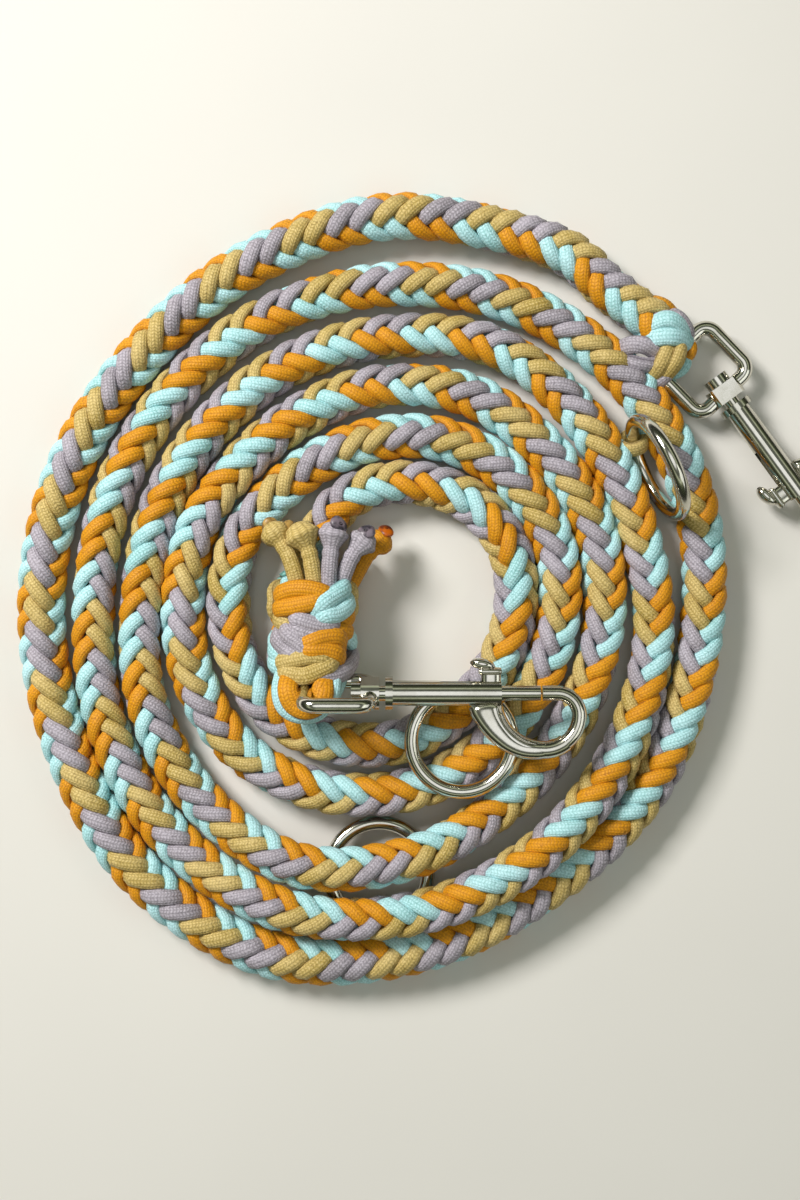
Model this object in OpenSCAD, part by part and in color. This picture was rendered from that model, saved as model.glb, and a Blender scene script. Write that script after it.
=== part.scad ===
// Braided lead rope with a trigger snap at each end and three rings, coiled flat.
// Millimetres. Z is up, the rope lies on z = 0, the snap at the middle points along +X.

/* [Rope] */
// rope thickness over the braid
rope_d = 11.4; // [9:0.2:12]
// thickness of one cord
cord_d = 3.8; // [3:0.1:4.5]
// melted bulb at a cord's end
bulb_d = 7.4; // [6:0.1:8]

/* [Rings] */
// clear opening of a ring
ring_bore = 24.4; // [20:0.2:30]
// ring wire thickness
ring_wire = 4.1; // [3:0.1:5]

/* [Snap] */
// barrel diameter
barrel_d = 7; // [6.6:0.1:8]
// end of the barrel, from the middle of the eye's hub
barrel_end = 36; // [35:0.5:38]
// collar diameter
collar_d = 9.4; // [8:0.2:11]
// locking bolt diameter
bolt_d = 4.1; // [3.6:0.1:4.4]
// radial clearance of the locking bolt in its bore
bolt_gap = 0.05; // [0.02:0.01:0.1]
// locking bolt reach past the barrel
bolt_out = 10.8; // [10:0.2:11]
// width of the thumb slot
slot_w = 2.8; // [2.4:0.1:3.4]
// back end of the thumb slot
slot_start = 19.2; // [18:0.2:20]
// hook section
hook_d = 4.9; // [4:0.1:5.4]

/* [Eye] */
// eye width over the wire
eye_w = 24; // [22:0.5:26]
// end bar to the middle of the hub
eye_l = 18; // [16:0.5:20]
// eye wire thickness
eye_wire = 4.3; // [3.6:0.1:4.8]
// swivel rivet neck diameter
neck_d = 4.4; // [4:0.1:5]
// radial clearance of the neck in the hub
neck_gap = 0.06; // [0.02:0.01:0.1]
// swivel rivet head diameter
head_d = 7.1; // [6:0.1:8]

/* [Hidden] */
$fn = 48;

// colours
orange = [0.80, 0.47, 0.04];
mint = [0.56, 0.83, 0.74];
tan_c = [0.73, 0.60, 0.36];
grey = [0.60, 0.56, 0.57];
nickel = [0.78, 0.78, 0.76];
steel = [0.55, 0.55, 0.54];

// coil: middle, first angle and step of the route
coil_x = -22.5;
coil_y = -0.5;
step = 24;
first = 63;
// chords cut inside the curve, so the corners sit a little outside it
swell = 1.011;

// route of the rope after its first two points: [distance from the middle, height]
route = [
    [110.5, 6], [106.5, 6], [99, 6], [93.5, 6], [93, 6], [94.5, 6], [98, 6], [105, 6],
    [108.5, 6], [104, 6], [98.5, 6], [97, 6], [95, 6], [95.5, 6],
    [94.5, 6], [91.5, 6], [87, 6], [83, 6], [79.5, 6], [78.5, 6], [79.5, 6], [85, 6],
    [91, 6.5], [94, 12.5], [92, 13.5], [88, 14.5], [84.5, 11], [81.5, 7], [77.5, 6],
    [77.5, 6], [77.5, 6], [72, 6], [68, 6], [65, 6], [64.5, 6], [66, 6], [72, 6],
    [77.5, 6.5], [80.5, 13.5], [76.5, 13.5], [71.5, 7], [68.5, 6], [67, 6], [66, 6],
    [63.5, 6], [62, 6], [58, 6], [53.5, 6], [51.5, 6], [52.5, 6], [54, 6], [57, 6],
    [59.5, 6], [59.5, 6], [58.5, 6], [56.5, 6], [54.5, 6], [54, 6], [53.5, 6],
    [51, 6], [47.5, 6], [43, 6], [39.5, 6], [38.5, 6], [40, 6], [41, 6], [43, 6],
    [45, 6], [45, 6], [44.5, 6], [43, 6], [42, 6], [41.5, 6], [41, 6],
    [38, 6], [33.5, 6], [29.5, 6], [25.5, 6]];
start_pts = [[62, 72.5, 6.5], [46, 84.5, 6]];
end_pts = [[-38, 12, 6.5], [-39, -3, 8]];

// stopper knot
knot_x = -39;
knot_y = -12.5;
knot_z = 13;

// loop of the knot round snap A's end bar
loop_low = -6.3;
loop_h = 10;
loop_leg = 9;

// cord tails: foot and tip
tail_pts = [
    [[-41.5, -5, 18], [-49, 15.5, 17], 1],
    [[-37.5, -5, 19], [-41.5, 15.5, 18.7], 1],
    [[-33.5, -5, 19], [-33, 16, 18.5], 1],
    [[-31, -5, 15], [-24, 13, 17], 1],
    [[-31, -5, 10.5], [-19.5, 13, 8], 0.95],
    [[-31, -5, 5.5], [-25, 8, 4], 0.7],
    [[-44, -5, 13], [-46.8, 3, 12.5], 0.7],
    [[-45.5, -5, 7], [-48.3, 1.5, 4.8], 0.7]];

// snap A at the middle and snap B at the outer end: hub centre, turn about Z
a_pos = [-22.6, -29.4, 24.5];
a_turn = 0;
a_eye_roll = 107;
a_skew = 0;
b_pos = [78.5, 55.5, 6.5];
b_turn = -54;
b_skew = -8;

// rings: centre and lean
ring_r = (ring_bore + ring_wire) / 2;
ring_1_pos = [3, -43.4, 14.6];
ring_2_pos = [-20.5, -82, 3.8];
ring_2_lean = 6;
ring_3_pos = [57.7, 33.3, 16.3];
ring_3_turn = 25;
ring_3_lean = 97.5;
keeper_cord = 3;
keeper_r = ring_wire / 2 + 0.2 + keeper_cord / 2;
keeper_1_at = 52;
keeper_2_at = 180;
keeper_3_at = 72;

// snap details
collar_x = 4.2;
collar_l = 2;
socket_end = 8;
spring_start = 8.6;
bolt_start = 22;
bolt_r = bolt_d / 2;
bore_r = bolt_r + bolt_gap;
stem_l = 5.6;
stem_w = slot_w - 0.2;
stem_top = 5.4;
knob_top = 9.1;
knob_l = 7.9;
knob_w = 4.6;
tip_x = 47.4;
hub_l = 5;
hub_w = 10;
hub_t = 7;
head_l = 2.6;
eye_corner = 3.5;
eye_half = (eye_w - eye_wire) / 2;
spring_turns = 4;
spring_wire = 0.6;
spring_r = 1.6;

// ---- swept tubes ----

function at_angle(i) =
    let (a = first + i * step, r = route[i][0] * swell)
    [coil_x + r * cos(a), coil_y + r * sin(a), route[i][1]];

function rope_path() = concat(start_pts, [for (i = [0 : len(route) - 1]) at_angle(i)], end_pts);

function unit(v) = v / norm(v);

function heading(path, i) =
    let (last = len(path) - 1, a = path[max(i - 1, 0)], b = path[min(i + 1, last)])
    unit(b - a);

function side_of(t) = unit(cross(t, [0, 0, 1]));

function ring_points(c, t, r, n) =
    let (s = side_of(t), u = cross(s, t))
    [for (k = [0 : n - 1]) c + r * cos(360 * (k + 0.5) / n) * s + r * sin(360 * (k + 0.5) / n) * u];

function tube_points(path, r, n) =
    [for (i = [0 : len(path) - 1]) each ring_points(path[i], heading(path, i), r, n)];

function tube_sides(m, n) =
    [for (i = [0 : m - 2], k = [0 : n - 1])
        let (a = i * n + k, b = i * n + (k + 1) % n)
        each [[a, b, b + n], [a, b + n, a + n]]];

function tube_faces(m, n) =
    concat([[for (k = [n - 1 : -1 : 0]) k]], tube_sides(m, n), [[for (k = [0 : n - 1]) (m - 1) * n + k]]);

module tube(path, r, n) {
    polyhedron(points = tube_points(path, r, n), faces = tube_faces(len(path), n), convexity = 10);
}

function coil_path(r, x0, x1, turns, per) =
    [for (i = [0 : turns * per])
        [x0 + (x1 - x0) * i / (turns * per), r * cos(360 * i / per), r * sin(360 * i / per)]];

// ---- the rope and its cords ----

module braided_rope() {
    color(orange)
    tube(rope_path(), rope_d / 2, 10);
}

module rounded_drum(r, t, e) {
    rotate([90, 0, 0])
    rotate_extrude()
    intersection() {
        union() {
            translate([0, -t / 2]) square([r - e, t]);
            translate([0, -t / 2 + e]) square([r, t - 2 * e]);
            translate([r - e, -t / 2 + e]) circle(e);
            translate([r - e, t / 2 - e]) circle(e);
        }
        translate([0, -t]) square([2 * r, 2 * t]);
    }
}

module stopper_knot() {
    color(tan_c)
    union() {
        translate([knot_x + 1, knot_y + 5.5, knot_z]) rounded_drum(11.6, 14, 6);
        translate([knot_x - 0.5, knot_y - 4.9, knot_z]) rounded_drum(12.6, 11.6, 5.6);
    }
}

module end_loop() {
    inner = eye_wire / 2 + 0.3;
    color(orange)
    translate(a_pos)
    translate([-eye_l, 0, 0])
    rotate([a_eye_roll - 90, 0, 0])
    translate([0, 0, loop_low])
    linear_extrude(loop_h)
    difference() {
        union() {
            circle(inner + cord_d);
            translate([-inner - cord_d, 0]) square([2 * (inner + cord_d), loop_leg]);
        }
        circle(inner);
        translate([-inner, 0]) square([2 * inner, loop_leg + 1]);
    }
}

module tail(i) {
    a = tail_pts[i][0];
    b = tail_pts[i][1];
    d = b - a;
    translate(a)
    rotate([0, acos(d[2] / norm(d)), atan2(d[1], d[0])])
    union() {
        cylinder(h = norm(d), r = cord_d / 2);
        translate([0, 0, norm(d)]) sphere(bulb_d / 2 * tail_pts[i][2]);
    }
}

module tail_tan_1() { color(tan_c) tail(0); }
module tail_tan_2() { color(tan_c) tail(1); }
module tail_grey_1() { color(grey) tail(2); }
module tail_grey_2() { color(grey) tail(3); }
module tail_orange_1() { color(orange) tail(4); }
module tail_orange_2() { color(orange) tail(5); }
module tail_mint_1() { color(mint) tail(6); }
module tail_mint_2() { color(mint) tail(7); }

module bight(k) {
    pitch = 3.65;
    place_b()
    rotate([0, 0, b_skew])
    translate([-eye_l, (k - 1.5) * pitch, 0])
    rotate([90, 0, 0])
    rotate_extrude()
    translate([eye_wire / 2 + 0.25 + 1.75, 0])
    circle(1.75);
}

module bight_orange() { color(orange) bight(0); }
module bight_mint() { color(mint) bight(1); }
module bight_tan() { color(tan_c) bight(2); }
module bight_grey() { color(grey) bight(3); }

// ---- rings and the cords that hold them ----

module torus(big, small) {
    rotate_extrude()
    translate([big, 0])
    circle(small);
}

module place_ring_1() { translate(ring_1_pos) children(); }
module place_ring_2() { translate(ring_2_pos) rotate([0, ring_2_lean, 0]) children(); }
module place_ring_3() {
    translate(ring_3_pos)
    rotate([0, 0, ring_3_turn])
    rotate([0, ring_3_lean, 0])
    children();
}

module keeper(at) {
    rotate([0, 0, at])
    translate([ring_r, 0, 0])
    rotate([90, 0, 0])
    torus(keeper_r, keeper_cord / 2);
}

module ring_1() { color(nickel) place_ring_1() torus(ring_r, ring_wire / 2); }
module ring_2() { color(nickel) place_ring_2() torus(ring_r, ring_wire / 2); }
module ring_3() { color(nickel) place_ring_3() torus(ring_r, ring_wire / 2); }
module ring_keeper_1() { color(orange) place_ring_1() keeper(keeper_1_at); }
module ring_keeper_2() { color(grey) place_ring_2() keeper(keeper_2_at); }
module ring_keeper_3() { color(tan_c) place_ring_3() keeper(keeper_3_at); }

// ---- trigger snap: axis +X from the hub, hook toward -Y, thumb knob toward +Y ----

module place_a() { translate(a_pos) rotate([0, 0, a_turn]) children(); }
module place_b() { translate(b_pos) rotate([0, 0, b_turn]) rotate([180, 0, 0]) children(); }

module along_x(x0, x1, r) {
    translate([x0, 0, 0])
    rotate([0, 90, 0])
    cylinder(h = x1 - x0, r = r);
}

module elbow(x, y, start) {
    translate([x, y, 0])
    rotate_extrude(angle = 90, start = start)
    translate([eye_corner, 0])
    circle(eye_wire / 2);
}

module eye_frame() {
    r = eye_wire / 2;
    c = eye_corner;
    h = eye_half;
    translate([-eye_l, h - c, 0]) rotate([90, 0, 0]) cylinder(h = 2 * (h - c), r = r);
    for (s = [-1, 1]) {
        translate([0, s * h, 0]) along_x(-eye_l + c, -c, r);
    }
    elbow(-eye_l + c, h - c, 90);
    elbow(-eye_l + c, -h + c, 180);
    elbow(-c, h - c, 0);
    elbow(-c, -h + c, 270);
    translate([0, h - c, 0]) rotate([90, 0, 0]) cylinder(h = h - c - 2, r = r);
    translate([0, -2, 0]) rotate([90, 0, 0]) cylinder(h = h - c - 2, r = r);
}

module snap_eye(skew) {
    difference() {
        union() {
            rotate([0, 0, skew]) eye_frame();
            intersection() {
                translate([-hub_l / 2, -hub_w / 2, -hub_t / 2]) cube([hub_l, hub_w, hub_t]);
                along_x(-hub_l, hub_l, hub_w / 2);
            }
        }
        along_x(-hub_l, hub_l, neck_d / 2 + neck_gap);
    }
}

module snap_rivet() {
    union() {
        along_x(-hub_l / 2 - 0.1 - head_l, -hub_l / 2 - 0.1, head_d / 2);
        along_x(-hub_l / 2 - 0.5, socket_end, neck_d / 2);
    }
}

module arc_tube(x, y, big, small, from, span) {
    translate([x, y, 0])
    rotate_extrude(angle = span, start = from)
    translate([big, 0])
    circle(small);
}

module hook() {
    r = hook_d / 2;
    t = bolt_r;
    translate([tip_x, 0, 0]) rotate([0, 90, 0]) cylinder(h = 4.1, r = t);
    arc_tube(51.5, -6, 6, t, 0, 90);
    arc_tube(47.9, -6, 9.6, t, 300, 60);
    arc_tube(47.9, -6, 9.6, r, 268, 40);
    arc_tube(47.9, -1.6, 14, r, 190, 80);
    translate([0, 0, -hook_d / 2 + 0.3])
    linear_extrude(hook_d - 0.6)
    polygon([[27.2, -2.9], [36, -2.9], [36, -7], [38.4, -10.6], [42.5, -13.4], [43.5, -17.4], [39.5, -17.4]]);
}

module snap_body() {
    difference() {
        union() {
            along_x(collar_x, collar_x + collar_l, collar_d / 2);
            along_x(collar_x + 0.5, barrel_end, barrel_d / 2);
            difference() {
                hook();
                along_x(collar_x, barrel_end + 0.02, barrel_d / 2 - 0.3);
            }
        }
        along_x(collar_x - 1, socket_end, neck_d / 2);
        along_x(spring_start - 0.2, barrel_end + 1, bore_r);
        translate([slot_start, 0, -slot_w / 2]) cube([barrel_end - slot_start + 1, barrel_d, slot_w]);
    }
}

module snap_bolt() {
    difference() {
        along_x(bolt_start, barrel_end + bolt_out, bolt_r);
        translate([barrel_end - stem_l, 0.4, -stem_w / 2]) cube([stem_l, bolt_d, stem_w]);
    }
}

module snap_knob() {
    union() {
        translate([barrel_end - stem_l, 0.4, -stem_w / 2]) cube([stem_l, stem_top - 0.4, stem_w]);
        translate([barrel_end - knob_l, stem_top - 0.3, -knob_w / 2])
        cube([knob_l, knob_top - stem_top + 0.3, knob_w]);
    }
}

module snap_spring() {
    tube(coil_path(spring_r, spring_start + 0.4, bolt_start - 0.4, spring_turns, 12), spring_wire / 2, 6);
}

module a_eye() { color(nickel) translate(a_pos) rotate([a_eye_roll, 0, 0]) snap_eye(a_skew); }
module a_rivet() { color(nickel) place_a() snap_rivet(); }
module a_body() { color(nickel) place_a() snap_body(); }
module a_bolt() { color(nickel) place_a() snap_bolt(); }
module a_knob() { color(nickel) place_a() snap_knob(); }
module a_spring() { color(steel) place_a() snap_spring(); }
module b_eye() { color(nickel) place_b() snap_eye(b_skew); }
module b_rivet() { color(nickel) place_b() snap_rivet(); }
module b_body() { color(nickel) place_b() snap_body(); }
module b_bolt() { color(nickel) place_b() snap_bolt(); }
module b_knob() { color(nickel) place_b() snap_knob(); }
module b_spring() { color(steel) place_b() snap_spring(); }

braided_rope();
stopper_knot();
end_loop();
tail_tan_1();
tail_tan_2();
tail_grey_1();
tail_grey_2();
tail_orange_1();
tail_orange_2();
tail_mint_1();
tail_mint_2();
bight_orange();
bight_mint();
bight_tan();
bight_grey();
ring_keeper_1();
ring_keeper_2();
ring_keeper_3();
ring_1();
ring_2();
ring_3();
a_eye();
a_rivet();
a_body();
a_bolt();
a_knob();
a_spring();
b_eye();
b_rivet();
b_body();
b_bolt();
b_knob();
b_spring();
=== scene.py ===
"""A braided lead rope in a flat coil, with a snap hook at each end and three rings held to it by cord."""
import math

import bpy
import numpy as np
from mathutils import Matrix, Vector


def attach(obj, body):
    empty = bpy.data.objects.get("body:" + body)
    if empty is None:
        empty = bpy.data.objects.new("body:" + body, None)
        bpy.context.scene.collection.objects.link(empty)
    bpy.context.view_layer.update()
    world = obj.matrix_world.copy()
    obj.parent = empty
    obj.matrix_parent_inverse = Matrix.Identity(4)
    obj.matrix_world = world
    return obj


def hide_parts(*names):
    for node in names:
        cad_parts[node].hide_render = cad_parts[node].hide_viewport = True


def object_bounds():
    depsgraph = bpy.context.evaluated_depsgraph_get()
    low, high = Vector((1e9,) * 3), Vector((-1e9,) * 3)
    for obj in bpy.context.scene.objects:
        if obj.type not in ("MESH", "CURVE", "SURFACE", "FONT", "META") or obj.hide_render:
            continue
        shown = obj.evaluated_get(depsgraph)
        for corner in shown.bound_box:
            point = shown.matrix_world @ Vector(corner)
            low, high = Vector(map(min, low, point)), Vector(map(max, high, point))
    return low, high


MM = 0.001
UP = np.array([0.0, 0.0, 1.0])

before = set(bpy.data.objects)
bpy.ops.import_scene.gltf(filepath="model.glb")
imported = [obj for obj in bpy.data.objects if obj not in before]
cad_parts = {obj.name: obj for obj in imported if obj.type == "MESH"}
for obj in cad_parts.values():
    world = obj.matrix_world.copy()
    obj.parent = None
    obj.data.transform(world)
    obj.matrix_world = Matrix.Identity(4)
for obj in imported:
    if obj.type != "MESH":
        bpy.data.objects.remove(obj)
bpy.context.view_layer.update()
scene = bpy.context.scene


# ---------------------------------------------------------------- camera

def make_camera():
    data = bpy.data.cameras.new("camera")
    data.lens = 49.7
    data.sensor_width = 36.0
    data.clip_start = 0.01
    data.clip_end = 20.0
    cam = bpy.data.objects.new("camera", data)
    cam.location = (-0.0144, -0.0038, 0.480)
    scene.collection.objects.link(cam)
    scene.camera = cam


make_camera()


# ---------------------------------------------------------------- lines and tubes

def unit(rows):
    return rows / np.maximum(np.linalg.norm(rows, axis=-1, keepdims=True), 1e-12)


def distances(line):
    """How far each point of a line is from its start, measured along the line."""
    return np.concatenate([[0], np.cumsum(np.linalg.norm(np.diff(line, axis=0), axis=1))])


def smooth(points, step, parts=14):
    """A Catmull-Rom line through points, whose first three columns are x, y and z, in even steps."""
    p = np.array(points, float)
    p = np.vstack([2 * p[0] - p[1], p, 2 * p[-1] - p[-2]])
    t = np.linspace(0, 1, parts, endpoint=False)[:, None]
    rows = []
    for a, b, c, d in zip(p, p[1:], p[2:], p[3:]):
        rows.append(0.5 * (2 * b + (c - a) * t + (2 * a - 5 * b + 4 * c - d) * t**2
                           + (3 * b - a - 3 * c + d) * t**3))
    rows.append(p[-2][None, :])
    rows = np.vstack(rows)
    along = distances(rows[:, :3])
    count = max(3, int(round(along[-1] / step)) + 1)
    even = np.linspace(0, along[-1], count)
    return even, np.stack([np.interp(even, along, column) for column in rows.T], axis=1)


def section(corners):
    """The angles of a round section's corners, in degrees."""
    return [i * 360 / corners for i in range(corners)]


ROUND = section(12)
BULB = section(16)
FINE = section(24)
OUTER = [0, 36, 72, 108, 144, 180, 270]    # finer on the side that faces out of the rope
BOXINESS = 0.85      # below 1, a section is a little squarer than an ellipse
CAP_BULGE = 0.45     # how far a tube's end bulges, as a share of its half thickness
CAP_STITCH = 0.8     # millimetres of the sheath's pattern on a tube's end


class Tubes:
    """Collects tubes, in millimetres, and makes one mesh of them."""

    def __init__(self):
        self.points = []
        self.faces = []
        self.uvs = []
        self.kinds = []
        self.count = 0

    def add(self, line, normal, half_width, half_thick, kind, angles=ROUND, closed=False):
        """Adds a tube: its thickness runs along normal, and kind is the number of its material."""
        line = np.asarray(line, float)
        n = len(line)
        if closed:
            tangent = unit(np.roll(line, -1, axis=0) - np.roll(line, 1, axis=0))
        else:
            tangent = unit(np.gradient(line, axis=0))
        normal = unit(normal - (normal * tangent).sum(1)[:, None] * tangent)
        side = np.cross(tangent, normal)
        half_width = np.broadcast_to(half_width, n)[:, None, None]
        half_thick = np.broadcast_to(half_thick, n)[:, None, None]
        turns = np.radians(angles)
        x, y = (np.sign(c) * np.abs(c) ** BOXINESS for c in (np.cos(turns), np.sin(turns)))
        rings = (line[:, None, :] + half_width * x[None, :, None] * side[:, None, :]
                 + half_thick * y[None, :, None] * normal[:, None, :])
        m = len(angles)
        base = self.count
        self.points.append(rings.reshape(-1, 3))
        self.count += n * m
        i, j = np.meshgrid(np.arange(n if closed else n - 1), np.arange(m), indexing="ij")
        i, j = i.ravel(), j.ravel()
        i2, j2 = (i + 1) % n, (j + 1) % m
        self.faces.append(base + np.stack([i * m + j, i2 * m + j, i2 * m + j2, i * m + j2], axis=1))
        u = np.array(list(angles) + [360.0]) / 360.0
        along = distances(line)
        v = np.append(along, 2 * along[-1] - along[-2])
        corners = ((u[j], v[i]), (u[j], v[i + 1]), (u[j + 1], v[i + 1]), (u[j + 1], v[i]))
        self.uvs.append(np.stack([np.stack(corner, 1) for corner in corners], axis=1).reshape(-1, 2))
        self.kinds.append(np.full(len(i), kind))
        if not closed:
            self.cap(base, line[0], -tangent[0] * half_thick[0, 0, 0] * CAP_BULGE, u, v[0], kind, False)
            self.cap(base + (n - 1) * m, line[-1], tangent[-1] * half_thick[-1, 0, 0] * CAP_BULGE,
                     u, v[n - 1], kind, True)

    def cap(self, base, middle, out, u, along, kind, last):
        """Closes a tube's first or last section, whose first point has the number base, with a low tip."""
        m = len(u) - 1
        k = np.arange(m)
        near, after = base + k, base + (k + 1) % m
        tip = np.full(m, self.count)
        self.points.append((middle + out)[None, :])
        self.count += 1
        self.faces.append(np.stack([near, after, tip] if last else [after, near, tip], axis=1))
        uv = np.zeros((m, 3, 2))
        uv[:, 0, 0] = u[k] if last else u[k + 1]
        uv[:, 1, 0] = u[k + 1] if last else u[k]
        uv[:, 2, 0] = (u[k] + u[k + 1]) / 2
        uv[:, :2, 1] = along
        uv[:, 2, 1] = along + (CAP_STITCH if last else -CAP_STITCH)
        self.uvs.append(uv.reshape(-1, 2))
        self.kinds.append(np.full(m, kind))

    def piece(self, name, materials):
        """One object made of all the tubes, in metres."""
        points = np.vstack(self.points) * MM
        faces = [face for block in self.faces for face in block.tolist()]
        mesh = bpy.data.meshes.new(name)
        mesh.from_pydata(points.tolist(), [], faces)
        layer = mesh.uv_layers.new(name="UVMap")
        layer.data.foreach_set("uv", np.vstack(self.uvs).astype(np.float32).ravel())
        for material in materials:
            mesh.materials.append(material)
        mesh.polygons.foreach_set("material_index", np.concatenate(self.kinds).astype(np.int32))
        mesh.shade_smooth()
        mesh.update()
        obj = bpy.data.objects.new(name, mesh)
        scene.collection.objects.link(obj)
        return obj


# ---------------------------------------------------------------- materials

class Nodes:
    """A short way to write a node tree."""

    def __init__(self, name):
        self.material = bpy.data.materials.new(name)
        self.material.use_nodes = True
        self.tree = self.material.node_tree
        self.shader = self.tree.nodes["Principled BSDF"]

    def new(self, kind, **values):
        node = self.tree.nodes.new(kind)
        for key, value in values.items():
            setattr(node, key, value)
        return node

    def link(self, a, b):
        self.tree.links.new(a, b)

    def put(self, value, socket):
        """Gives a socket a fixed value, or links another socket to it."""
        if isinstance(value, (int, float, tuple)):
            socket.default_value = value
        else:
            self.link(value, socket)

    def look(self, **values):
        """Sets the shader's inputs, with _ for each space in a name."""
        for key, value in values.items():
            self.put(value, self.shader.inputs[key.replace("_", " ")])

    def math(self, operation, a, b=None, c=None):
        node = self.new("ShaderNodeMath", operation=operation)
        for socket, value in zip(node.inputs, (a, b, c)):
            if value is not None:
                self.put(value, socket)
        return node.outputs[0]

    def wave(self, value, turn):
        """The size of the sine of value times turn, from 0 to 1."""
        return self.math("ABSOLUTE", self.math("SINE", self.math("MULTIPLY", value, turn)))

    def noise(self, vector, scale, detail=3.0, rough=0.5):
        node = self.new("ShaderNodeTexNoise")
        node.inputs["Scale"].default_value = scale
        node.inputs["Detail"].default_value = detail
        node.inputs["Roughness"].default_value = rough
        self.link(vector, node.inputs["Vector"])
        return node.outputs["Fac"]

    def ramp(self, value, low, high, to_low=0.0, to_high=1.0):
        node = self.new("ShaderNodeMapRange")
        for key, number in (("From Min", low), ("From Max", high), ("To Min", to_low), ("To Max", to_high)):
            node.inputs[key].default_value = number
        self.link(value, node.inputs["Value"])
        return node.outputs["Result"]

    def mix(self, factor, a, b):
        node = self.new("ShaderNodeMix", data_type="RGBA")
        self.put(factor, node.inputs["Factor"])
        self.put(a, node.inputs["A"])
        self.put(b, node.inputs["B"])
        return node.outputs["Result"]

    def bump(self, height, strength, distance):
        node = self.new("ShaderNodeBump")
        node.inputs["Strength"].default_value = strength
        node.inputs["Distance"].default_value = distance
        self.link(height, node.inputs["Height"])
        self.link(node.outputs[0], self.shader.inputs["Normal"])


def linear(r, g, b):
    """An 8-bit screen colour as linear light."""
    rows = [c / 255 for c in (r, g, b)]
    return tuple(c / 12.92 if c <= 0.04045 else ((c + 0.055) / 1.055) ** 2.4 for c in rows) + (1.0,)


SHEATH_VEES = 8      # pairs of stitch rows round a cord, each pair a line of vees
STITCH = 0.75        # millimetres from one stitch to the next
VEE_SLANT = 1.1      # how far a stitch slants, in stitches


def sheath(name, colour, shade, light, painted_glint):
    """Paracord: a braided nylon sheath, rows of small slanting stitches along the cord."""
    m = Nodes(name)
    coords = m.new("ShaderNodeTexCoord")
    place = coords.outputs["Object"]
    split = m.new("ShaderNodeSeparateXYZ")
    m.link(coords.outputs["UV"], split.inputs[0])
    round_cord, along = split.outputs[0], split.outputs[1]
    row = m.math("MULTIPLY", round_cord, SHEATH_VEES)
    across = m.math("ABSOLUTE", m.math("SUBTRACT", m.math("FRACT", row), 0.5))
    slant = m.math("MULTIPLY_ADD", across, VEE_SLANT, m.math("DIVIDE", along, STITCH))
    stitch = m.wave(slant, math.pi)
    groove = m.wave(row, 2 * math.pi)
    pillow = m.math("POWER", m.math("MULTIPLY", stitch, groove), 0.5)
    fibre = m.noise(place, 2400, 2.0)
    broad = m.noise(place, 70, 3.0)
    spots = m.noise(place, 1300, 2.0)
    side_shade_wave = m.wave(round_cord, 2 * math.pi)
    # Worn, faded stretches; painted shade in the gaps between stitches and painted highlights on their
    # tops; light flecks that are painted glints; dark flecks; painted shade on the sides.
    body = m.mix(m.ramp(broad, 0.3, 0.7, 0.0, 0.6), colour, light)
    # Painted shade: darker in the gaps between the stitches.
    body = m.mix(m.ramp(pillow, 0.62, 0.1, 0.0, 0.38), body, shade)
    # Painted highlight: lighter on the tops of the stitches.
    body = m.mix(m.ramp(pillow, 0.75, 1.0, 0.0, 0.6), body, light)
    # Painted glints: light flecks on the stitches.
    body = m.mix(m.ramp(spots, 0.55, 0.7, 0.0, painted_glint), body, light)
    body = m.mix(m.ramp(spots, 0.45, 0.3, 0.0, 0.35), body, shade)
    # Painted shade: darker on a cord's sides, in the creases where it meets its neighbours.
    body = m.mix(m.ramp(side_shade_wave, 0.4, 0.0, 0.0, 0.7), body, shade)
    m.look(Base_Color=body, Roughness=m.ramp(broad, 0.2, 0.8, 0.5, 0.68), Sheen_Weight=0.04,
           Sheen_Roughness=0.4, Specular_IOR_Level=0.4)
    m.bump(m.math("MULTIPLY_ADD", fibre, 0.25, pillow), 0.75, 0.00018)
    return m.material


def metal(name, colour, worn, low, high):
    """Polished plate with faint wear and fine scratches, its roughness from low to high."""
    m = Nodes(name)
    place = m.new("ShaderNodeTexCoord").outputs["Object"]
    broad = m.noise(place, 90, 4.0, 0.6)
    fine = m.noise(place, 1400, 3.0, 0.7)
    blend = m.math("ADD", m.math("MULTIPLY", broad, 0.6), m.math("MULTIPLY", fine, 0.4))
    m.look(Base_Color=m.mix(m.ramp(broad, 0.45, 0.75), colour, worn),
           Roughness=m.ramp(blend, 0.3, 0.7, low, high), Metallic=1.0)
    m.bump(blend, 0.25, 0.00006)
    return m.material


def melted(name, colour, dark):
    """A cord's end, melted with a flame: hard, glossy nylon with scorched patches."""
    m = Nodes(name)
    place = m.new("ShaderNodeTexCoord").outputs["Object"]
    patch = m.noise(place, 420, 3.0)
    fine = m.noise(place, 1800, 3.0)
    m.look(Base_Color=m.mix(m.ramp(patch, 0.42, 0.6), colour, dark),
           Roughness=m.ramp(patch, 0.3, 0.7, 0.28, 0.5))
    m.bump(m.math("ADD", patch, m.math("MULTIPLY", fine, 0.3)), 0.5, 0.0002)
    return m.material


# The four kinds of cord, in the order of CORDS and MELTED.
ORANGE, MINT, TAN, GREY = 0, 1, 2, 3
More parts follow.
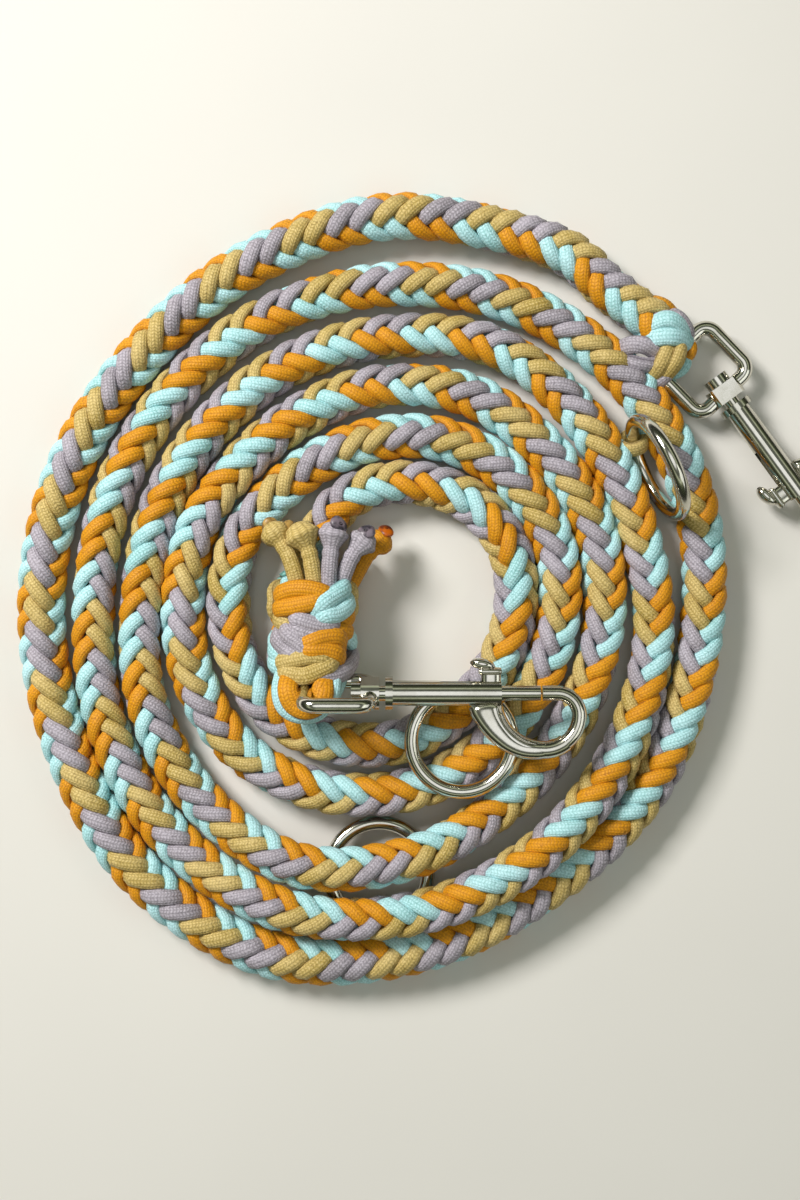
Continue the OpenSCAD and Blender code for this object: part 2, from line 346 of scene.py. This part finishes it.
# Each sheath: its colour, a darker colour for painted shade and dark flecks, a lighter one for faded
# stretches, painted highlights and painted glints, and how strong the painted glints are.
CORDS = [
    sheath("orange_cord", linear(205, 136, 0), linear(128, 66, 0), linear(226, 156, 8), 0.3),
    sheath("mint_cord", linear(158, 210, 212), linear(84, 140, 136), linear(204, 240, 248), 0.45),
    sheath("tan_cord", linear(178, 152, 72), linear(98, 72, 28), linear(222, 198, 138), 0.5),
    sheath("grey_cord", linear(142, 136, 142), linear(76, 68, 78), linear(198, 190, 202), 0.5),
]
MELTED = [
    melted("melted_orange", linear(186, 92, 6), linear(92, 34, 10)),
    melted("melted_mint", linear(120, 180, 172), linear(70, 96, 90)),
    melted("melted_tan", linear(188, 152, 84), linear(120, 88, 44)),
    melted("melted_grey", linear(120, 108, 118), linear(46, 40, 50)),
]
NICKEL = metal("polished_nickel", linear(214, 211, 200), linear(190, 186, 170), 0.07, 0.2)
STEEL = metal("spring_wire", linear(150, 148, 144), linear(120, 118, 112), 0.25, 0.4)


def finish_cord_piece(obj, node):
    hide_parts(node)
    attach(obj, "rope")
    return obj


# ---------------------------------------------------------------- rope

# Each row is the distance from the coil's middle and the height, in millimetres, and the roll of the
# braid, in degrees, the outer end first.
ROUTE = [
    (110.5, 6, 45), (106.5, 6, 15), (99, 6, 10), (93.5, 6, 5), (93, 6, 5), (94.5, 6, 0), (98, 6, -10),
    (105, 6, -5), (108.5, 6, 5), (104, 6, 25), (98.5, 6, 45), (97, 6, 90), (95, 6, 135), (95.5, 6, 150),
    (94.5, 6, 180), (91.5, 6, 180), (87, 6, 190), (83, 6, 230), (79.5, 6, 270), (78.5, 6, 280),
    (79.5, 6, 315), (85, 6, 315), (91, 6.5, 350), (94, 12.5, 375), (92, 13.5, 420), (88, 14.5, 435),
    (84.5, 11, 450), (81.5, 7, 485), (77.5, 6, 505),
    (77.5, 6, 550), (77.5, 6, 585), (72, 6, 600), (68, 6, 605), (65, 6, 625), (64.5, 6, 635),
    (66, 6, 665), (72, 6, 670), (77.5, 6.5, 715), (80.5, 13.5, 730), (76.5, 13.5, 740), (71.5, 7, 785),
    (68.5, 6, 810), (67, 6, 865), (66, 6, 885),
    (63.5, 6, 900), (62, 6, 910), (58, 6, 950), (53.5, 6, 985), (51.5, 6, 1005), (52.5, 6, 1040),
    (54, 6, 1070), (57, 6, 1090), (59.5, 6, 1105), (59.5, 6, 1135), (58.5, 6, 1145), (56.5, 6, 1170),
    (54.5, 6, 1220), (54, 6, 1230), (53.5, 6, 1245),
    (51, 6, 1250), (47.5, 6, 1255), (43, 6, 1260), (39.5, 6, 1270), (38.5, 6, 1280), (40, 6, 1300),
    (41, 6, 1320), (43, 6, 1315), (45, 6, 1320), (45, 6, 1340), (44.5, 6, 1350), (43, 6, 1360),
    (42, 6, 1365), (41.5, 6, 1360), (41, 6, 1350),
    (38, 6, 1345), (33.5, 6, 1330), (29.5, 6, 1320), (25.5, 6, 1320),
]
ROUTE_FROM = 63      # the direction of the first row from the coil's middle, in degrees
ROUTE_STEP = 24      # degrees from one row to the next
COIL_MIDDLE = (-22.5, -0.5)
ROPE_START = [(62, 72.5, 6.5, 40), (46, 84.5, 6, 40)]
ROPE_END = [(-38, 12, 6.5, 1320), (-39, -3, 8, 1320)]
ROPE_LIFT = 0.5

# The four cords that turn one way round the rope, and the four that turn the other way.
GROUPS = ((-1, (TAN, GREY, GREY, TAN)), (1, (ORANGE, ORANGE, MINT, MINT)))
# The braid's lay, the length of one full turn of a strand, by stretches from the outer end: length, lay.
LAYS = [(60, 24), (320, 27.5), (320, 26.5), (160, 28.5), (320, 27), (640, 27.5), (500, 28)]
FIRST_TURN = -0.55    # where the strands stand at the outer end, in turns
THICKNESS = [(0, 1.07), (450, 1.06), (650, 1.0), (2310, 1.0)]   # the rope's, as a share of the usual
STRAND_OUT = (3.3, 1.3)       # a strand's distance from the rope's middle, and what it gains on top
STRAND_WIDE = (2.15, 0.15)    # its half width, and what it gains on top
STRAND_THICK = (1.75, 0.15)   # its half thickness, and what it gains on top
CROSSING = 1.7    # how suddenly a strand dips under the next one
STAY = 0.35       # above 0, a strand stays on top longer than it stays under
SLANT = 0.4       # how much less a strand turns round the rope while it lies on top


def rope_points():
    rows = list(ROPE_START)
    for i, (distance, height, roll) in enumerate(ROUTE):
        a = math.radians(ROUTE_FROM + ROUTE_STEP * i)
        rows.append((COIL_MIDDLE[0] + distance * math.cos(a), COIL_MIDDLE[1] + distance * math.sin(a),
                     height, roll))
    rows += ROPE_END
    return [(x, y, z + ROPE_LIFT, roll) for x, y, z, roll in rows]


def make_rope():
    """The eight strands. Returns the rope's middle line and the object."""
    s, rows = smooth(rope_points(), 1.45)
    line, roll = rows[:, :3], np.radians(rows[:, 3])
    tangent = unit(np.gradient(line, axis=0))
    up = unit(UP - (tangent @ UP)[:, None] * tangent)
    out = np.cross(tangent, up)
    ends = np.cumsum([0] + [length for length, _ in LAYS])
    turns = np.interp(s, ends, np.cumsum([FIRST_TURN] + [length / lay for length, lay in LAYS]))
    size = np.interp(s, *zip(*THICKNESS))
    rope = Tubes()
    for way, colours in GROUPS:
        for k, kind in enumerate(colours):
            turn = way * 2 * math.pi * turns + k * math.pi / 2
            turn = turn + (math.pi / 4 if way > 0 else 0) + roll
            facing = -way * np.cos(2 * (turn - roll))
            over = np.tanh(CROSSING * (facing + STAY)) / math.tanh(CROSSING)
            turn = turn + SLANT * way * np.sin(2 * (turn - roll)) / 2
            radial = np.cos(turn)[:, None] * up + np.sin(turn)[:, None] * out
            away, wide, thick = (size * (usual + gain * over)
                                 for usual, gain in (STRAND_OUT, STRAND_WIDE, STRAND_THICK))
            rope.add(line + away[:, None] * radial, radial, wide, thick, kind, OUTER)
    return line, rope.piece("braided_rope_strands", CORDS)


rope_line, rope = make_rope()
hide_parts("braided_rope")
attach(rope, "rope")


# ---------------------------------------------------------------- knot

KNOT = np.array([-39.0, -12.5, 13.0])
KNOT_R = 10.1       # the barrel's radius, to the middle of a strand
KNOT_WIDE = 1.07    # the barrel's width as a share of its height
KNOT_REACH = KNOT_R + 2.2    # the x at which a strand is at the barrel's side
TUCK = 3.0          # how far a strand's ends dive into the barrel
KNOT_HALF = 2.65    # a strand's half width
KNOT_THICK = 2.0    # its half thickness
TAPER = 5           # millimetres over which a strand's ends taper
TAPERED = 0.3       # the width of its tip, as a share of its width
# The strands at the knot's front: cord, lift off the barrel, and points (x, y) from the knot's middle. A
# strand with more lift lies over one with less. The back repeats them.
FRONT = [
    (ORANGE, 0.3, [(-12, 7.5), (-9.5, 10), (-5.5, 11.6), (-0.5, 11.6), (4.5, 10.2), (8, 8)]),
    (ORANGE, 0.5, [(-12, 4), (-9.6, 6.2), (-5.5, 6.9), (-1, 7.8), (3, 9), (6.5, 10)]),
    (MINT, 1.2, [(0.5, 4), (3, 7.2), (6.2, 9.8), (9.2, 12), (11.5, 13.5)]),
    (MINT, 1.2, [(1.5, 2), (4, 4.3), (7.4, 5), (10.4, 7.8), (12, 10.8)]),
    (TAN, 0.0, [(10.5, 14), (12.2, 11.5), (12.5, 8.5), (12.3, 5.5), (11.5, 3)]),
    (GREY, 0.3, [(-7.5, 6), (-4.3, 3.6), (-1, 2.4), (2.8, 1.4), (6.5, 2), (9, 3.5)]),
    (GREY, 0.1, [(-7, 3), (-4.5, 0.8), (-1, -0.6), (2.8, -1.2), (6, 0.2)]),
    (TAN, -0.6, [(-12.5, 6), (-11, 3.8), (-8.6, 2.4), (-5, 2)]),
    (ORANGE, -0.3, [(12.4, 7.5), (11.8, 5), (10.4, 3), (7.4, 1.8)]),
    (ORANGE, -0.3, [(6, 1), (8.8, 0.4), (11.5, -0.4), (12.4, -2)]),
    (GREY, 0.6, [(-10, 2.5), (-7.2, -0.4), (-3.8, -3.1), (-1.2, -5.4), (1, -8)]),
    (GREY, 0.5, [(-12.3, 1), (-10.4, -1.8), (-8, -4.6), (-4.8, -6.6), (-1, -7.6)]),
    (ORANGE, 1.0, [(-5, -4), (-0.8, -3.4), (4, -1.6), (8, -1.8), (11, -5)]),
    (ORANGE, 1.1, [(-5, -4.6), (-0.8, -5), (4, -5), (7.6, -6.4), (10, -9.4)]),
    (MINT, -0.3, [(9.5, -0.5), (11.6, -1.6), (12.4, -4), (12.4, -6.5)]),
    (MINT, 0.3, [(-12.3, -2), (-11.6, -4.6), (-10, -6.8), (-7, -8.2)]),
    (MINT, 0.2, [(-12.5, -5.5), (-11.8, -8), (-10, -9.8), (-6.5, -10.4)]),
    (TAN, 0.8, [(-11, -10), (-8.4, -8.6), (-4, -7.4), (0.6, -6.6), (4.5, -7.4), (7, -9)]),
    (TAN, 0.9, [(-10.5, -9.5), (-7.4, -11.2), (-2, -12.2), (2.8, -10.4), (6, -8.4), (8.5, -7)]),
    (GREY, 0.3, [(12.2, -3), (12.3, -6.5), (11.4, -9.8), (8, -12), (3, -12.8), (-1, -12.6)]),
]
CORE = [(14, 5.5), (12, 7.8), (8, 8.8), (2, 8.8), (-4, 8.8), (-10, 8.6), (-12.5, 6.5)]   # y, radius


def on_barrel(points, lift, back):
    """A strand's points (x, y) on the knot's barrel, lifted off it, its ends tucked in."""
    rows = []
    for n, (x, y) in enumerate(points):
        radius = KNOT_R + lift - (TUCK if n in (0, len(points) - 1) else 0)
        a = math.asin(max(-1.0, min(1.0, x / KNOT_REACH)))
        rows.append((KNOT_WIDE * radius * math.sin(a), y, radius * math.cos(a)))
    return np.array(rows) * ([-1, 1, -1] if back else [1, 1, 1])


def make_knot():
    """The strands at the front, the same ones with half the lift at the back, and a core inside them."""
    knot = Tubes()
    for back in (False, True):
        for kind, lift, points in FRONT:
            s, line = smooth(on_barrel(points, 0.5 * lift if back else lift, back), 0.9)
            tip = TAPERED + (1 - TAPERED) * np.clip(np.minimum(s, s[-1] - s) / TAPER, 0, 1) ** 0.8
            knot.add(line + KNOT, line * [1, 0, 1], KNOT_HALF * tip, KNOT_THICK, kind)
    _, rows = smooth([(0.0, y, 0.0, radius) for y, radius in CORE], 1.0)
    knot.add(rows[:, :3] + KNOT, np.tile(UP, (len(rows), 1)), rows[:, 3], rows[:, 3], TAN, FINE)
    return knot.piece("stopper_knot_strands", CORDS)


knot = make_knot()
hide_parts("stopper_knot")
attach(knot, "rope")


# ---------------------------------------------------------------- loop round snap A's end bar

# Cord, half width, height above the knot's middle, and points (x, y) from the knot's middle.
LOOP = [
    (MINT, 2.2, 9.2, [(-7, -8), (-8.2, -12), (-8.8, -16.5), (-7.5, -21), (-3.5, -23.3), (1.5, -22.8),
                      (5, -19), (6.3, -15), (6, -7)]),
    (ORANGE, 2.9, 11.8, [(-4, -8), (-5.6, -12), (-6.2, -16.2), (-4.6, -20), (-1.2, -21.4), (2, -20),
                         (3.6, -16.8), (3.2, -12), (1.5, -7)]),
    (ORANGE, 2.7, 11.0, [(6.5, -8), (4.8, -11.6), (3.2, -15), (2, -18.5), (0, -20.5)]),
    (MINT, 2.2, 5.6, [(-5, -8), (-6.5, -12), (-6.8, -16.5), (-5.2, -20.5), (-1.6, -22), (2.5, -20.5),
                      (6.3, -17), (8, -12), (7.5, -8)]),
    (GREY, 2.2, 2.0, [(-4, -8), (-6, -12), (-6.8, -16.5), (-5.2, -20.5), (-1.6, -22), (2.2, -20.5),
                      (3.8, -16.8), (3.5, -12), (2.5, -8)]),
]
LOOP_THICK = 2.2    # the largest half thickness of a strand
LOOP_TOP = -6       # the y at which the strands are as high as the knot's middle
LOOP_RISE = 9       # millimetres from there to where they reach their own height


def make_loop():
    loop = Tubes()
    for kind, width, height, points in LOOP:
        rows = [(x, y, height * min(1.0, abs(y - LOOP_TOP) / LOOP_RISE)) for x, y in points]
        _, line = smooth(np.array(rows) + KNOT, 0.8)
        loop.add(line, np.tile(UP, (len(line), 1)), width, min(width, LOOP_THICK), kind)
    return loop.piece("end_loop_strands", CORDS)


loop = make_loop()
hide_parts("end_loop")
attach(loop, "rope")


# ---------------------------------------------------------------- tails

# Node, cord, the melted bulb's radius, which way the melted face looks, and the tail's line.
TAILS = [
    ("tail_tan_1", TAN, 4.3, (-0.3, 0.3, -1),
     [(-41.5, -5, 17.5), (-43, 1, 19.2), (-45.6, 9, 19.6), (-51, 17.4, 17.4)]),
    ("tail_tan_2", TAN, 5.1, (-0.9, -0.1, -0.7),
     [(-37.5, -5, 18.5), (-38.3, 2, 20.2), (-39.8, 10, 20.6), (-43.4, 17.4, 19.2)]),
    ("tail_grey_1", GREY, 4.4, (0.6, 0.3, 0.9),
     [(-34, -5, 18.5), (-34.2, 2, 20), (-33.6, 10, 20), (-32.6, 17.8, 19)]),
    ("tail_grey_2", GREY, 4.2, (-0.1, 0.5, 1),
     [(-31.6, -5, 15.5), (-30.4, 2, 17.8), (-27.4, 9, 18.2), (-22.6, 15, 17.4)]),
    ("tail_orange_1", ORANGE, 4.0, (0.2, 0.9, 0.7),
     [(-31.5, -5, 11), (-27.6, 2, 12), (-23.6, 9, 10.5), (-17.8, 14.8, 8.6)]),
    ("tail_orange_2", ORANGE, 2.7, (0.6, 1, 0),
     [(-31.5, -5, 6.5), (-29, 0, 6.5), (-27, 4, 5.5), (-25, 8, 4.3)]),
    ("tail_mint_1", MINT, 2.6, (-0.4, 1, 0.2),
     [(-44, -5, 12.8), (-44.6, -2, 13), (-45.6, 0.5, 12.8), (-46.8, 3, 12.3)]),
    ("tail_mint_2", MINT, 2.6, (-0.5, 1, 0),
     [(-45.5, -5, 7), (-46.2, -2.5, 6.6), (-47.2, -0.5, 5.8), (-48.3, 1.5, 4.9)]),
]
TAIL_R = 2.35       # a tail's radius below its bulb
SWELL_RUN = 3.2     # millimetres over which it swells into the bulb
FLATTER = 0.96      # a tail's thickness as a share of its width
LUMP = 0.05         # how much the bulb's radius wavers, as a share of it
LUMP_TURN = 2.3     # radians of that wave in a millimetre
MELT_R = 0.62       # the melted patch's half width, as a share of the bulb's radius
MELT_FLATTER = 0.85    # its half thickness, as a share of its half width
MELT_OUT = 0.6      # how far its middle stands out, and how deep it is, as a share of that radius
MELT_BACK = 0.35    # how far back from the tail's end it is measured, as a share of that radius
MELT_SIDE = [0.3, 0.5, 0.81]    # any direction that no patch faces


def make_tail(node, kind, radius, facing, points):
    """A cord's end that swells into a round bulb, with a melted patch on the bulb."""
    tail = Tubes()
    s, line = smooth(points, 0.6)
    left = s[-1] - s
    neck = TAIL_R + (radius - TAIL_R) * (1 - np.clip((left - radius) / SWELL_RUN, 0, 1)) ** 2
    dome = radius * np.sqrt(np.clip(1 - ((radius - left) / (1.04 * radius)) ** 2, 0.05, 1))
    swell = np.where(left < radius, dome, neck)
    lump = 1 + LUMP * np.sin(s * LUMP_TURN) * (left < 2.5 * radius)
    tail.add(line, np.tile(UP, (len(line), 1)), swell * lump, swell * lump * FLATTER, 0, BULB)
    facing = np.array(facing) / np.linalg.norm(facing)
    face = line[-1] - MELT_BACK * radius * unit(line[-1] - line[-3])
    depth = np.linspace(-0.5, 0.5, 8)
    across = radius * MELT_R * np.sqrt(np.clip(1 - (2 * depth) ** 2, 0.04, 1))
    patch = face + facing * (radius * MELT_OUT) + depth[:, None] * facing * radius * MELT_OUT
    side = np.tile(np.cross(facing, MELT_SIDE), (len(patch), 1))
    tail.add(patch, side, across, across * MELT_FLATTER, 1, BULB)
    finish_cord_piece(tail.piece(node + "_cord", [CORDS[kind], MELTED[kind]]), node)


for row in TAILS:
    make_tail(*row)


# ---------------------------------------------------------------- bights round snap B's end bar

BIGHT_MIDDLE = np.array([60.5, 71.0, 4.0])    # a strand's thickness points away from here
# Node, cord, and its strands: half width and line.
BIGHTS = [
    ("bight_orange", ORANGE, [
        (2.2, [(53.5, 79, 4), (56.5, 80.8, 8), (60.5, 80.2, 8.5), (64.2, 77.4, 6)]),
        (2.0, [(66, 71, 4.5), (68.4, 69, 6.5), (68, 66.4, 7), (65.6, 65, 5)]),
        (2.2, [(50, 63, 4), (54, 60.6, 6.2), (58.5, 59.6, 5)]),
    ]),
    ("bight_mint", MINT, [
        (2.8, [(54.2, 71.4, 6), (57.5, 74.3, 11), (61.5, 75.3, 12.4), (65, 73.6, 10.5), (67.6, 71, 6.5),
               (66, 69.5, 2.5), (60, 69.5, 2)]),
        (2.8, [(54.2, 71, 6), (57.5, 70.6, 11), (61.5, 70.7, 12.4), (65, 70.4, 10.5), (67.8, 69, 6.5),
               (66, 67.5, 2.5), (60, 67.5, 2)]),
        (2.0, [(66.5, 66, 5.5), (66.8, 63.6, 7), (65, 61.6, 6), (62, 61.5, 4)]),
    ]),
    ("bight_tan", TAN, [
        (2.4, [(65.5, 70.5, 5), (65, 67.6, 10.2), (63.7, 63.6, 10.8), (61.2, 60.4, 8), (60, 59.5, 4)]),
        (2.4, [(62.5, 70.5, 6), (61.4, 67.4, 10.6), (59.8, 63.4, 11), (58, 60.6, 8), (57, 60, 4)]),
        (4.4, [(53, 79.5, 7), (57, 75.5, 7), (60, 70, 7), (61, 66, 6.8)]),
    ]),
    ("bight_grey", GREY, [
        (2.6, [(46.8, 66.5, 4), (50.2, 68.3, 9.6), (54.4, 68.4, 11), (58.8, 66.8, 9)]),
        (2.6, [(47, 64.5, 3), (50.4, 63.6, 8.8), (54.6, 62.8, 9.8), (58.6, 63.2, 8)]),
        (2.2, [(63, 62.4, 7), (61, 59.6, 8), (58.8, 57.8, 5.5), (57.5, 58, 3)]),
        (2.0, [(60, 77.8, 6), (64, 77, 9), (67.2, 73.4, 8.4), (68, 70, 6), (66.5, 67.5, 3)]),
    ]),
]
BIGHT_THICK = 2.0     # a strand's half thickness
CORE_HALF = 4.0       # a strand wider than this fills the fold from inside and is round


def make_bight(node, kind, strands):
    bight = Tubes()
    for width, points in strands:
        _, line = smooth(points, 0.7)
        bight.add(line, line - BIGHT_MIDDLE, width, width if width > CORE_HALF else BIGHT_THICK, 0)
    return finish_cord_piece(bight.piece(node + "_cord", [CORDS[kind]]), node)


bights = [make_bight(*row) for row in BIGHTS]


# ---------------------------------------------------------------- keepers

# Node, cord, the ring's middle, its turn about Z and lean about Y, and where on the ring the cord sits.
KEEPERS = [
    ("ring_keeper_1", ORANGE, (3, -43.4, 14.6), 0, 0, 52),
    ("ring_keeper_2", GREY, (-20.5, -82, 3.8), 0, 6, 180),
    ("ring_keeper_3", TAN, (57.7, 33.3, 16.3), 25, 97.5, 42),
]
RING_R = 14.25        # to the middle of a ring's wire
KEEPER_R = 3.4        # from the middle of the wire to the middle of the cord
KEEPER_HALF = 2.3     # the cord's half width
KEEPER_THICK = 1.25   # its half thickness


def make_keeper(node, kind, middle, turn, lean, place):
    """The cord that holds a ring: a closed band round the ring's wire."""
    turned = Matrix.Rotation(math.radians(turn), 3, "Z") @ Matrix.Rotation(math.radians(lean), 3, "Y")
    outward = np.array(turned @ Vector((math.cos(math.radians(place)), math.sin(math.radians(place)), 0)))
    across = np.array(turned @ Vector((0, 0, 1)))
    t = np.linspace(0, 2 * math.pi, 40, endpoint=False)[:, None]
    spoke = outward * np.cos(t) + across * np.sin(t)
    line = np.array(middle) + outward * RING_R + spoke * KEEPER_R
    keeper = Tubes()
    keeper.add(line, spoke, KEEPER_HALF, KEEPER_THICK, 0, closed=True)
    finish_cord_piece(keeper.piece(node + "_cord", [CORDS[kind]]), node)


for row in KEEPERS:
    make_keeper(*row)


# ---------------------------------------------------------------- snaps

# A snap's own millimetres run from its swivel hub: x along the barrel and y toward the thumb knob. Each row
# of these lists is a section: its middle (x, y, z), its half width and its half thickness.
KNOB_STEM = [(33.2, 1, 0, 2.7, 1.25), (33.2, 3.5, 0, 2.7, 1.25), (33.2, 6, 0, 2.7, 1.25)]
KNOB_FOOT = [(29.9, 6, 0, 1.7, 0.7), (30.5, 6, 0, 2.2, 1.05), (33, 6, 0, 2.3, 1.1), (35.5, 6, 0, 2.2, 1.05),
             (36, 6, 0, 1.8, 0.8)]
KNOB_TAB = [(27.6, 8.5, 0, 0.7, 0.4), (28, 8.4, 0, 1.5, 0.9), (29, 8.3, 0, 2.2, 1.4),
            (30.6, 8.1, 0, 2.5, 1.6), (32.2, 7.8, 0, 2.4, 1.4), (33.4, 7.3, 0, 1.8, 1.1),
            (34.2, 6.9, 0, 0.9, 0.5)]
NECK = [(31.2, -2.75, 0, 3.6, 0.6), (31.3, -3.1, 0, 4.2, 1.8), (31.7, -4.6, 0, 4.3, 2.4),
        (33, -7.4, 0, 3.9, 2.6), (35.2, -10.6, 0, 3.4, 2.65), (38.4, -13.6, 0, 2.9, 2.6),
        (42, -15.3, 0, 2.6, 2.55), (46, -15.7, 0, 2.5, 2.5), (48.5, -15.5, 0, 2.3, 2.3)]
WEB_HALF = 2.15       # half the thickness of the flat web between barrel and hook in the CAD body
WEB_NEAR = 0.02       # how close to that a point of the web's faces is
WEB_TOP = -3.7        # the web's points have y below this
WEB_END = 45          # and x below this
WEB_THINNER = 0.5     # the web's new thickness, as a share of the old one
WEB_LOW = -16.6       # the web's points with y below this
WEB_LIFTED = -16.4    # are brought up to this

# Where each snap is: its hub, its turn about Z in degrees, and -1 if it lies on its other face.
SNAP_A = ((-22.6, -29.4, 24.5), 0, 1)
SNAP_B = ((78.5, 55.5, 6.5), -54, -1)


def turn_about_z(turn):
    return np.array(Matrix.Rotation(math.radians(turn), 3, "Z"))


def place_snap(rows, hub, turn, flip):
    return (np.asarray(rows) * [1, flip, flip]) @ turn_about_z(turn).T + hub


def take_off_snap(rows, hub, turn, flip):
    return ((np.asarray(rows) - hub) @ turn_about_z(turn)) * [1, flip, flip]


def add_snap_tube(tubes, rows, step, normal, *place):
    """Adds a tube through a list of sections, its thickness along normal in the snap's own directions."""
    _, rows = smooth(rows, step)
    ends = place_snap([normal, (0, 0, 0)], *place)
    tubes.add(place_snap(rows[:, :3], *place), np.tile(ends[0] - ends[1], (len(rows), 1)),
              rows[:, 3], rows[:, 4], 0, FINE)


def finish_snap_piece(obj, node, body):
    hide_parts(node)
    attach(obj, body)
    return obj


def make_knob(name, node, body, *place):
    knob = Tubes()
    add_snap_tube(knob, KNOB_STEM, 0.25, (0, 0, 1), *place)
    add_snap_tube(knob, KNOB_FOOT, 0.25, (0, 1, 0), *place)
    add_snap_tube(knob, KNOB_TAB, 0.25, (0, 1, 0), *place)
    return finish_snap_piece(knob.piece(name, [NICKEL]), node, body)


def thin_web(rows):
    """Draws in the flat web between barrel and hook, which the neck covers."""
    web = np.abs(np.abs(rows[:, 2]) - WEB_HALF) < WEB_NEAR
    web &= (rows[:, 1] < WEB_TOP) & (rows[:, 0] < WEB_END)
    rows[web, 2] *= WEB_THINNER
    rows[web & (rows[:, 1] < WEB_LOW), 1] = WEB_LIFTED


def make_body(name, node, body, *place):
    """A copy of the CAD's barrel and hook with a thinner web, and a cast, tapering neck over that web."""
    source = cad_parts[node]
    mesh = source.data.copy()
    mesh.name = name
    matrix = np.array(source.matrix_world)
    points = np.array([v.co for v in mesh.vertices]) @ matrix[:3, :3].T + matrix[:3, 3]
    rows = take_off_snap(points / MM, *place)
    thin_web(rows)
    points = place_snap(rows, *place) * MM
    mesh.vertices.foreach_set("co", points.astype(np.float32).ravel())
    mesh.materials.clear()
    mesh.materials.append(NICKEL)
    mesh.update()
    shell = bpy.data.objects.new(name, mesh)
    scene.collection.objects.link(shell)
    neck = Tubes()
    add_snap_tube(neck, NECK, 0.4, (0, 0, 1), *place)
    neck = neck.piece(name + "_neck", [NICKEL])
    return [finish_snap_piece(shell, node, body), finish_snap_piece(neck, node, body)]


make_knob("a_thumb_knob", "a_knob", "bolt_a", *SNAP_A)
make_body("a_cast_body", "a_body", "snap_a", *SNAP_A)
snap_b = [make_knob("b_thumb_knob", "b_knob", "bolt_b", *SNAP_B)]
snap_b += make_body("b_cast_body", "b_body", "snap_b", *SNAP_B)


def finish_cad():
    """The pieces that are the CAD's own: rings, eyes, rivets, bolts and springs."""
    for name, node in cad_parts.items():
        if node.hide_render:
            continue
        spring = "spring" in name
        node.data.materials.clear()
        node.data.materials.append(STEEL if spring else NICKEL)


finish_cad()


# ---------------------------------------------------------------- floor and light

FLOOR_HALF = 3.0      # metres
WORLD_STRENGTH = 0.52
# The world's colours by the sine of a direction's height: 0 at the horizon and below it, 1 straight above.
WORLD = (
    (0.0, (0.3, 0.3, 0.28, 1)), (0.15, (0.05, 0.055, 0.04, 1)), (0.5, (0.1, 0.12, 0.07, 1)),
    (0.62, (0.3, 0.34, 0.2, 1)), (0.7, (1.2, 1.3, 0.98, 1)), (0.78, (0.6, 0.64, 0.5, 1)),
    (0.84, (0.14, 0.16, 0.12, 1)), (0.94, (0.3, 0.33, 0.28, 1)), (0.97, (2.2, 2.25, 2.3, 1)),
)


def make_stage():
    mesh = bpy.data.meshes.new("floor")
    size, z = FLOOR_HALF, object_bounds()[0].z
    mesh.from_pydata([(-size, -size, z), (size, -size, z), (size, size, z), (-size, size, z)], [],
                     [(0, 1, 2, 3)])
    floor = bpy.data.objects.new("floor", mesh)
    scene.collection.objects.link(floor)
    m = Nodes("floor")
    coords = m.new("ShaderNodeTexCoord")
    m.look(Base_Color=m.mix(m.noise(coords.outputs["Object"], 8, 3.0), linear(212, 209, 203),
                            linear(220, 217, 211)), Roughness=0.8)
    mesh.materials.append(m.material)


def area_light(name, place, target, size, power, colour):
    data = bpy.data.lights.new(name, "AREA")
    data.shape = "RECTANGLE"
    data.size, data.size_y = size
    data.energy = power
    data.color = colour
    lamp = bpy.data.objects.new(name, data)
    lamp.location = place
    lamp.rotation_mode = "QUATERNION"
    lamp.rotation_quaternion = (Vector(target) - Vector(place)).to_track_quat("-Z", "Y")
    scene.collection.objects.link(lamp)


def make_world():
    """Bright and dark bands of soft light, so the metal has streaks to reflect."""
    world = bpy.data.worlds.new("studio")
    world.use_nodes = True
    tree = world.node_tree
    coords = tree.nodes.new("ShaderNodeTexCoord")
    split = tree.nodes.new("ShaderNodeSeparateXYZ")
    ramp = tree.nodes.new("ShaderNodeValToRGB")
    tree.links.new(coords.outputs["Generated"], split.inputs[0])
    tree.links.new(split.outputs[2], ramp.inputs[0])
    first, last = ramp.color_ramp.elements
    first.position, first.color = WORLD[0]
    last.position, last.color = WORLD[-1]
    for place, colour in WORLD[1:-1]:
        ramp.color_ramp.elements.new(place).color = colour
    tree.links.new(ramp.outputs[0], tree.nodes["Background"].inputs["Color"])
    tree.nodes["Background"].inputs["Strength"].default_value = WORLD_STRENGTH
    scene.world = world


make_stage()
area_light("key", (-0.55, 0.45, 0.7), (0, 0, 0), (0.3, 0.3), 12.0, (1.0, 0.98, 0.96))
area_light("fill", (0.7, -0.2, 0.6), (0, 0, 0), (0.6, 0.6), 1.2, (0.95, 0.98, 1.0))
make_world()
scene.view_settings.view_transform = "Standard"
